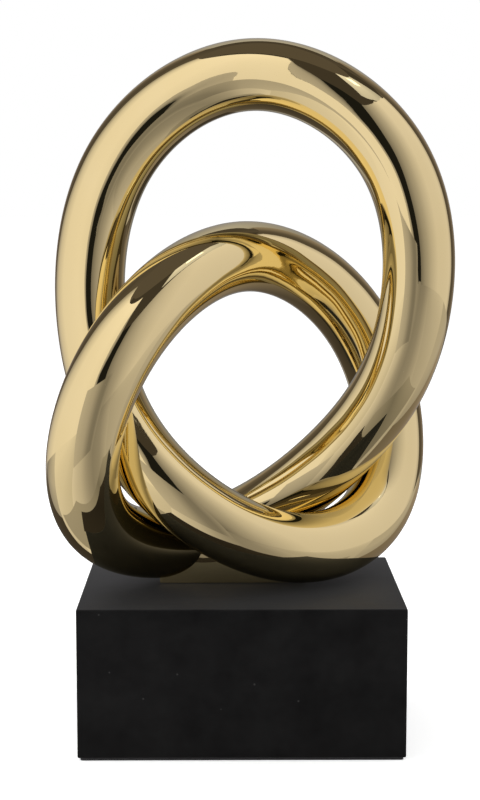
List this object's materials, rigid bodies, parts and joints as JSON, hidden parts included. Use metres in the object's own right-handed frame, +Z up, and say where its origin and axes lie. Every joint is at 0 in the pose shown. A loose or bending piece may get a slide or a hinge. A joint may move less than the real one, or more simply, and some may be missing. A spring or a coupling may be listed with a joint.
{
  "type": "knot sculpture",
  "caption": "Mirror-gold sculpture of a round bar tied in a closed knot, screwed to a matt black rectangular block with felt underneath.",
  "frame": {"origin": "on the table under the felt, below the middle of the whole sculpture's box", "axes": "+Z up, +X to the right and +Y to the back, seen from the front as it is pictured"},
  "size_m": [0.1879, 0.1249, 0.3285],
  "materials": {
    "mirror_gold": "mirror-bright pale gold plating on a smooth resin casting",
    "black_paint": "wood painted matt black, fine even grain",
    "black_felt": "thin pressed felt",
    "brass_inserts": "machined",
    "zinc_steel": "bright zinc plated"
  },
  "bodies": {
    "root": {"knot_casting": "mirror_gold", "base_block": "black_paint", "felt_sheet": "black_felt", "threaded_insert_left": "brass_inserts", "threaded_insert_right": "brass_inserts", "fixing_screw_left": "zinc_steel", "fixing_screw_right": "zinc_steel", "washer_left": "zinc_steel", "washer_right": "zinc_steel"}
  },
  "joints": []
}
